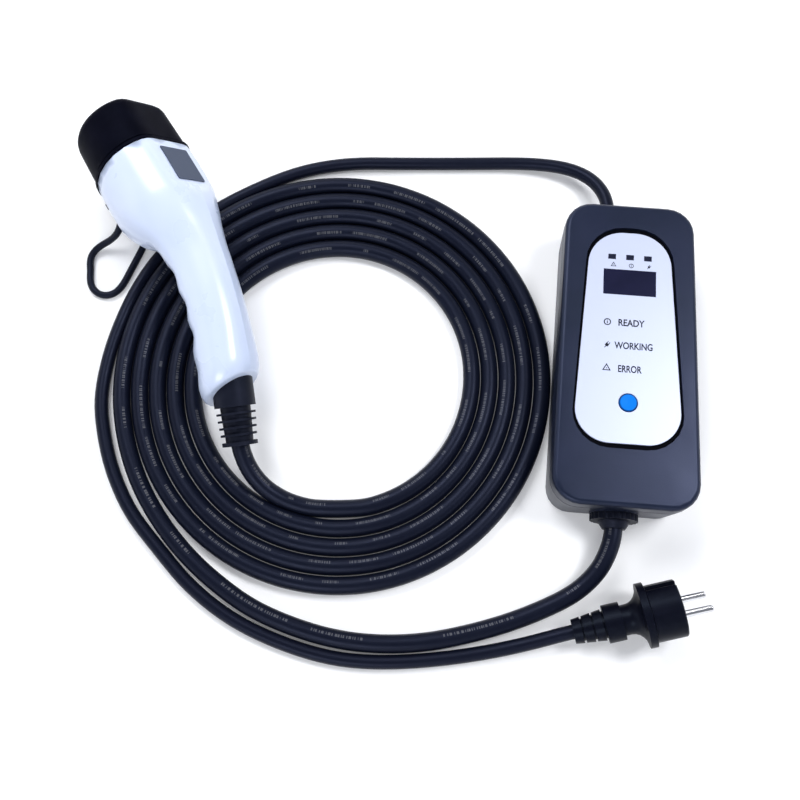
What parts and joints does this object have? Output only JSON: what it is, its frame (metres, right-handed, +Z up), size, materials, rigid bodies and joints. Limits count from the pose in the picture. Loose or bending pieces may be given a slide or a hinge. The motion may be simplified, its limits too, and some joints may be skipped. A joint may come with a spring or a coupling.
{
  "type": "portable EV charger",
  "caption": "Portable EV charger: control box with display, coiled vehicle cable with capped white connector, and a mains lead with a two-pin plug.",
  "frame": {"origin": "centre of the control box's flat underside", "axes": "+Z up out of the box front, +Y along the box towards the mains lead end, +X to the right seen from above"},
  "size_m": [0.4584, 0.3888, 0.088],
  "materials": {
    "box_plastic": "satin",
    "black_rubber": "matte",
    "silver_panel": "satin",
    "display_glass": "gloss",
    "module_plastic": "matte",
    "lens_plastic": "gloss",
    "button_plastic": "satin",
    "board_laminate": "satin",
    "screw_steel": "satin",
    "handle_plastic": "gloss",
    "contact_brass": "satin",
    "pin_nickel": "gloss",
    "label_grey": "satin",
    "cable_jacket": "satin"
  },
  "bodies": {
    "root": {"box_base": "box_plastic", "box_cover": "box_plastic", "box_gasket": "black_rubber", "fascia_plate": "silver_panel", "display_window": "display_glass", "display_module": "module_plastic", "status_lenses": "lens_plastic", "status_leds": "lens_plastic", "button_switch": "module_plastic", "front_board": "board_laminate", "front_board_screws": "screw_steel", "main_board": "board_laminate", "main_board_screws": "screw_steel", "power_relays": "module_plastic", "supply_transformer": "module_plastic", "fault_sensor_ring": "module_plastic", "capacitors": "module_plastic", "terminal_block": "module_plastic", "cover_screws": "screw_steel", "outlet_gland": "black_rubber", "outlet_gland_nut": "black_rubber", "mains_gland": "black_rubber", "mains_gland_nut": "black_rubber", "handle_shell_right": "handle_plastic", "handle_shell_left": "handle_plastic", "handle_screws": "screw_steel", "connector_nose": "module_plastic", "contact_carrier": "module_plastic", "power_contacts": "contact_brass", "pilot_contacts": "contact_brass", "nose_seal": "black_rubber", "label_plate": "label_grey", "cap_tether": "black_rubber", "cable_boot": "black_rubber", "ev_cable_lead": "cable_jacket", "ev_cable_coil": "cable_jacket", "ev_cable_tail": "cable_jacket", "mains_lead": "cable_jacket", "plug_body": "black_rubber", "plug_pins": "pin_nickel", "plug_earth_clips": "screw_steel"},
    "dust_cap": {"dust_cap": "black_rubber"},
    "select_button": {"select_button": "button_plastic"}
  },
  "joints": [
    {"name": "cap_pull", "type": "slide", "parent": "root", "child": "dust_cap", "axis": [-0.5849, 0.8109, -0.0175], "range_m": [0, 0.06]},
    {"name": "button_press", "type": "slide", "parent": "root", "child": "select_button", "axis": [0, 0, -1], "range_m": [0, 0.0006], "stiffness_N_per_m": 1500, "springref_m": -0.0003}
  ]
}
